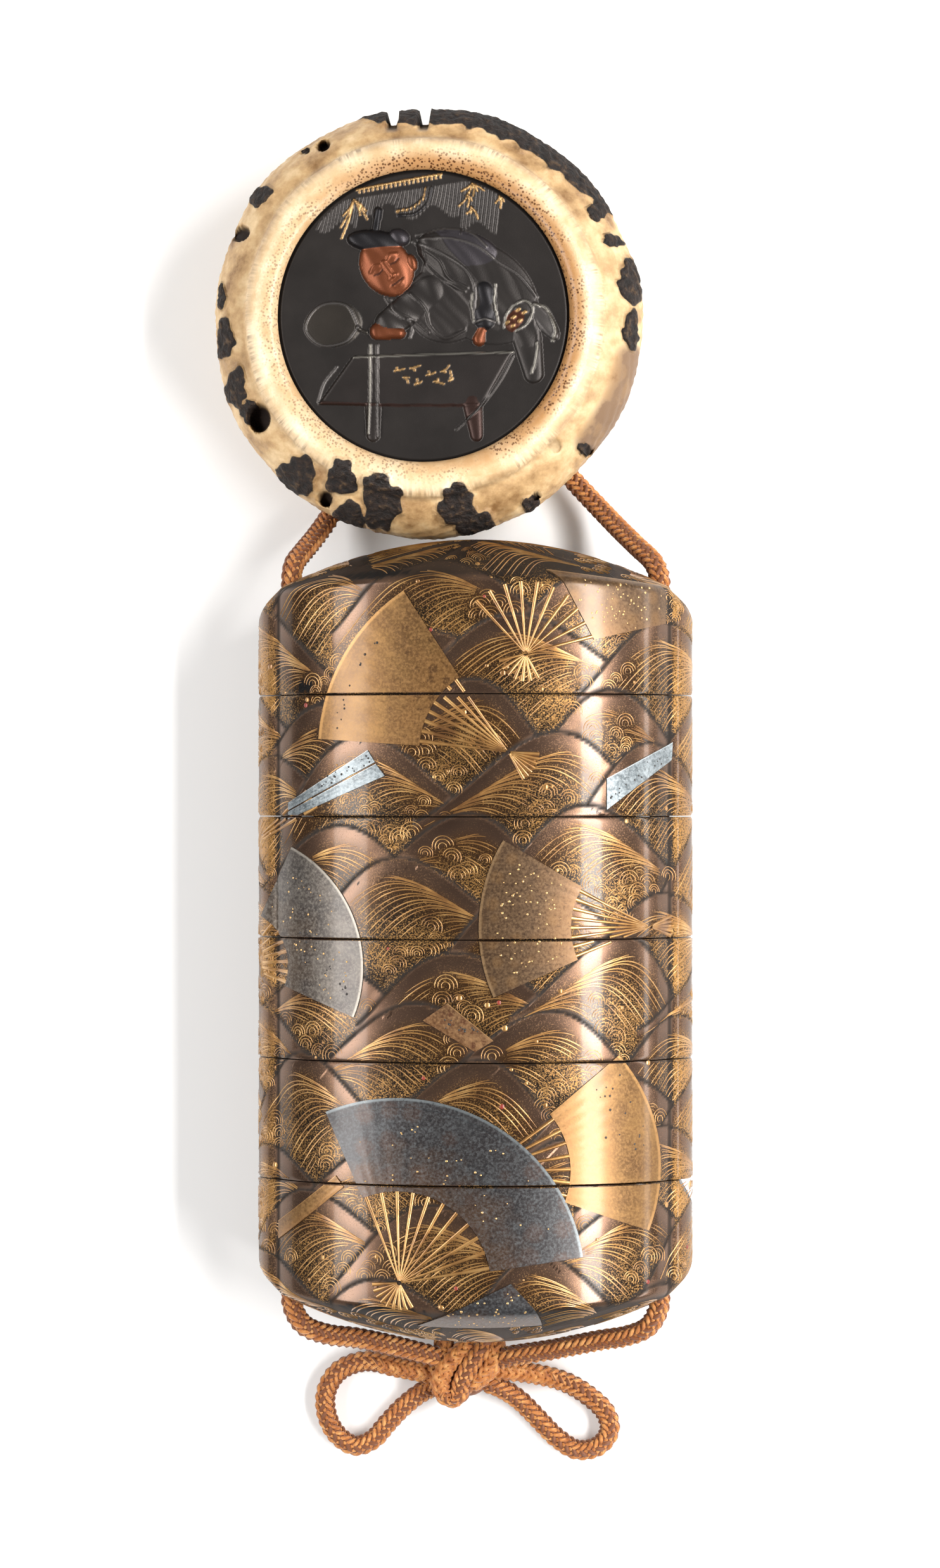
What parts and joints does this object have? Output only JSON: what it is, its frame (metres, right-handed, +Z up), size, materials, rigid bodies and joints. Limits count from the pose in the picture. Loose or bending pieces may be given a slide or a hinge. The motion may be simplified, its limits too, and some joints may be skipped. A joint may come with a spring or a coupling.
{
  "type": "inro case with netsuke and cord",
  "caption": "Small oval lacquered case of stacked boxes under a domed lid, strung on a silk cord with a round antler netsuke.",
  "frame": {"origin": "middle of the narrow flat on the underside of the case, on the surface that everything lies on", "axes": "+Y along the case from its base to its lid and on to the netsuke, +X across the case, +Z up through its front"},
  "size_m": [0.0535, 0.1529, 0.024],
  "materials": {
    "lacquer": "black lacquer over wood with gold powder pictures, polished and a little worn",
    "antler": "polished stag antler, cream collar with brown pores and bark left at the rim",
    "dark_metal": "patinated copper alloy, carved in relief, with copper, silver and gold accents",
    "silk_cord": "braided silk"
  },
  "bodies": {
    "root": {"lid": "lacquer", "case_1": "lacquer", "case_2": "lacquer", "case_3": "lacquer", "case_4": "lacquer", "case_5": "lacquer", "netsuke_bowl": "antler", "netsuke_disc": "dark_metal", "cord_left": "silk_cord", "cord_right": "silk_cord", "bow_left": "silk_cord", "bow_right": "silk_cord", "bow_knot": "silk_cord"}
  },
  "joints": []
}
